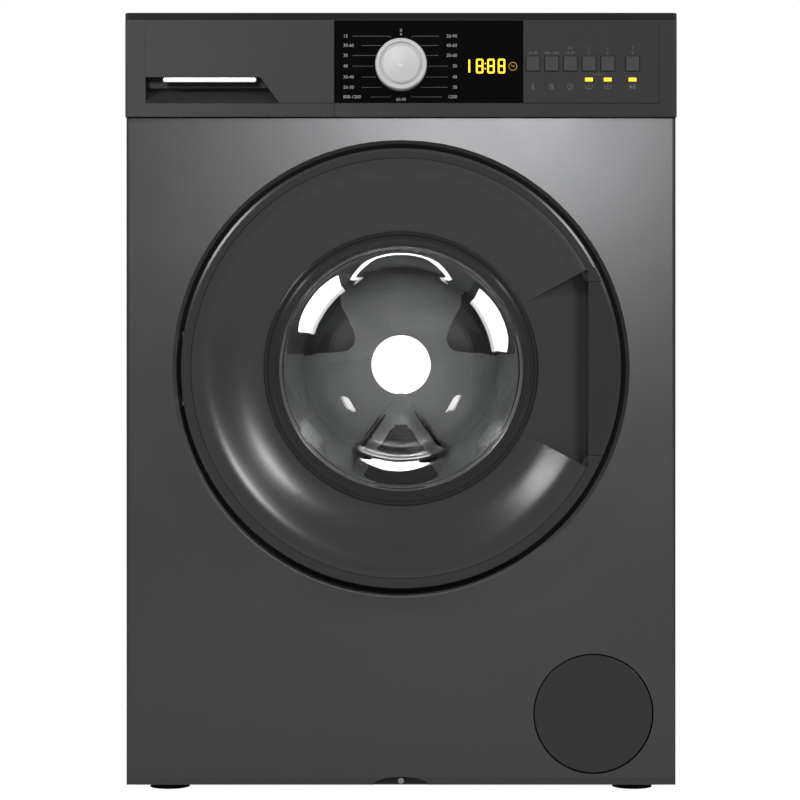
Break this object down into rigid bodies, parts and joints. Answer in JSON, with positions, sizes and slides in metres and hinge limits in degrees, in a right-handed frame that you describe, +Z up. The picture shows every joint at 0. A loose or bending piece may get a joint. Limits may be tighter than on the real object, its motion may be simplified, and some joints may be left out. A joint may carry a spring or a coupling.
{
  "type": "front load washing machine",
  "caption": "Front loading washing machine with a round glass door, detergent drawer, programme knob, display and push buttons above it.",
  "frame": {"origin": "on the floor, under the centre of the overall box", "axes": "+Z up, the door faces -Y, +X is to the right of someone facing the door"},
  "size_m": [0.597, 0.562, 0.845],
  "materials": {
    "sheet_anthracite": "fine metallic, satin",
    "sheet_side": "fine metallic, satin",
    "sheet_galvanised": "zinc coated, dull",
    "plastic_anthracite": "fine grain, satin",
    "plastic_fascia": "fine grain, satin",
    "plastic_worktop": "fine grain, satin",
    "board_worktop": "laminate, low gloss",
    "display_gloss": "high gloss",
    "led_amber": "lit amber",
    "knob_silver": "satin, turned",
    "button_silver": "satin metallic",
    "pocket_plastic": "fine grain, satin",
    "plastic_white": "satin",
    "plastic_grey": "moulded",
    "plastic_black": "moulded",
    "bezel_plastic": "satin to gloss",
    "glass_clear": "clear, thick pressed",
    "rubber_grey": "moulded rubber",
    "rubber_black": "moulded rubber",
    "stainless": "polished stainless",
    "steel_zinc": "zinc plated",
    "steel_spring": "oiled",
    "cast_iron": "coated",
    "aluminium_cast": "cast",
    "motor_metal": "painted"
  },
  "bodies": {
    "cabinet": {"front_panel": "sheet_anthracite", "side_panel_left": "sheet_side", "side_panel_right": "sheet_side", "rear_panel": "sheet_galvanised", "rear_cover": "sheet_galvanised", "base_frame": "plastic_black", "worktop_board": "board_worktop", "worktop_trim": "plastic_worktop", "top_crossbars": "sheet_galvanised", "control_fascia": "plastic_fascia", "display_panel": "display_gloss", "led_lenses": "led_amber", "dispenser_housing": "plastic_grey", "door_hinge_bracket": "aluminium_cast", "door_lock": "plastic_black", "door_gasket": "rubber_grey", "damper_cylinders": "plastic_black", "suspension_springs": "steel_spring", "water_inlet_valve": "plastic_white", "cabinet_hoses": "rubber_black", "drain_pump": "plastic_grey", "rear_grommets": "plastic_black", "cabinet_fasteners": "steel_zinc"},
    "tub": {"tub_front": "plastic_grey", "tub_rear": "plastic_grey", "main_bearings": "steel_zinc", "counterweights": "cast_iron", "drive_motor": "motor_metal", "drive_belt": "rubber_black", "heater": "stainless", "damper_rods": "plastic_white", "tub_hoses": "rubber_black"},
    "drum": {"drum_shell": "stainless", "drum_lifters": "plastic_grey", "drum_spider": "aluminium_cast", "drum_pulley": "aluminium_cast"},
    "motor_rotor": {"motor_pulley": "steel_zinc"},
    "door": {"door_cover": "plastic_anthracite", "door_rim": "plastic_anthracite", "door_bezel": "bezel_plastic", "door_glass": "glass_clear", "door_inner_frame": "plastic_grey", "door_hinge_leaf": "steel_zinc"},
    "handle": {"door_handle": "plastic_anthracite"},
    "hook": {"door_hook": "steel_zinc"},
    "drawer": {"drawer_front": "pocket_plastic", "drawer_tray": "plastic_white"},
    "knob": {"program_knob": "knob_silver"},
    "filter_lid": {"filter_cover": "plastic_anthracite"},
    "filter_plug": {"pump_filter": "plastic_white"},
    "button_1": {"button_1": "button_silver"},
    "button_2": {"button_2": "button_silver"},
    "button_3": {"button_3": "button_silver"},
    "button_4": {"button_4": "button_silver"},
    "button_5": {"button_5": "button_silver"},
    "button_6": {"button_6": "button_silver"},
    "foot_front_left": {"foot_front_left": "rubber_black"},
    "foot_front_right": {"foot_front_right": "rubber_black"},
    "foot_rear_left": {"foot_rear_left": "rubber_black"},
    "foot_rear_right": {"foot_rear_right": "rubber_black"}
  },
  "joints": [
    {"name": "tub_suspension", "type": "slide", "parent": "cabinet", "child": "tub", "axis": [0, 0, 1], "range_m": [-0.01, 0.01], "stiffness_N_per_m": 20000, "springref_m": 0.0267, "deforming": ["suspension_springs", "door_gasket", "tub_hoses"]},
    {"name": "drum_spin", "type": "hinge", "parent": "tub", "child": "drum", "pos_m": [0, 0, 0.46], "axis": [0, 1, 0], "continuous": true},
    {"name": "motor_spin", "type": "hinge", "parent": "tub", "child": "motor_rotor", "pos_m": [-0.095, 0.2, 0.128], "axis": [0, 1, 0], "continuous": true},
    {"name": "door_swing", "type": "hinge", "parent": "cabinet", "child": "door", "pos_m": [-0.229, -0.267, 0.46], "axis": [0, 0, -1], "range_deg": [0, 120]},
    {"name": "handle_pull", "type": "hinge", "parent": "door", "child": "handle", "pos_m": [0.219, -0.267, 0.46], "axis": [0, 0, 1], "range_deg": [0, 15], "stiffness_Nm_per_rad": 1.2},
    {"name": "hook_turn", "type": "hinge", "parent": "door", "child": "hook", "pos_m": [0.212, -0.249, 0.46], "axis": [0, 0, 1], "range_deg": [0, 12]},
    {"name": "drawer_slide", "type": "slide", "parent": "cabinet", "child": "drawer", "axis": [0, -1, 0], "range_m": [0, 0.2]},
    {"name": "knob_turn", "type": "hinge", "parent": "cabinet", "child": "knob", "pos_m": [0, -0.26, 0.7875], "axis": [0, 1, 0], "continuous": true},
    {"name": "filter_cover_pull", "type": "slide", "parent": "cabinet", "child": "filter_lid", "axis": [0, -1, 0], "range_m": [0, 0.03]},
    {"name": "filter_plug_turn", "type": "hinge", "parent": "cabinet", "child": "filter_plug", "pos_m": [0.2087, -0.23, 0.0857], "axis": [0, -1, 0], "range_deg": [0, 270]},
    {"name": "button_1_press", "type": "slide", "parent": "cabinet", "child": "button_1", "axis": [0, 1, 0], "range_m": [0, 0.0012], "stiffness_N_per_m": 400},
    {"name": "button_2_press", "type": "slide", "parent": "cabinet", "child": "button_2", "axis": [0, 1, 0], "range_m": [0, 0.0012], "stiffness_N_per_m": 400},
    {"name": "button_3_press", "type": "slide", "parent": "cabinet", "child": "button_3", "axis": [0, 1, 0], "range_m": [0, 0.0012], "stiffness_N_per_m": 400},
    {"name": "button_4_press", "type": "slide", "parent": "cabinet", "child": "button_4", "axis": [0, 1, 0], "range_m": [0, 0.0012], "stiffness_N_per_m": 400},
    {"name": "button_5_press", "type": "slide", "parent": "cabinet", "child": "button_5", "axis": [0, 1, 0], "range_m": [0, 0.0012], "stiffness_N_per_m": 400},
    {"name": "button_6_press", "type": "slide", "parent": "cabinet", "child": "button_6", "axis": [0, 1, 0], "range_m": [0, 0.0012], "stiffness_N_per_m": 400},
    {"name": "foot_front_left_screw", "type": "slide", "parent": "cabinet", "child": "foot_front_left", "axis": [0, 0, -1], "range_m": [0, 0.012]},
    {"name": "foot_front_right_screw", "type": "slide", "parent": "cabinet", "child": "foot_front_right", "axis": [0, 0, -1], "range_m": [0, 0.012]},
    {"name": "foot_rear_left_screw", "type": "slide", "parent": "cabinet", "child": "foot_rear_left", "axis": [0, 0, -1], "range_m": [0, 0.012]},
    {"name": "foot_rear_right_screw", "type": "slide", "parent": "cabinet", "child": "foot_rear_right", "axis": [0, 0, -1], "range_m": [0, 0.012]}
  ],
  "couplings": [
    {"joint": "motor_spin", "follows": "drum_spin", "ratio": 13.636},
    {"joint": "hook_turn", "follows": "handle_pull", "ratio": 0.8}
  ]
}
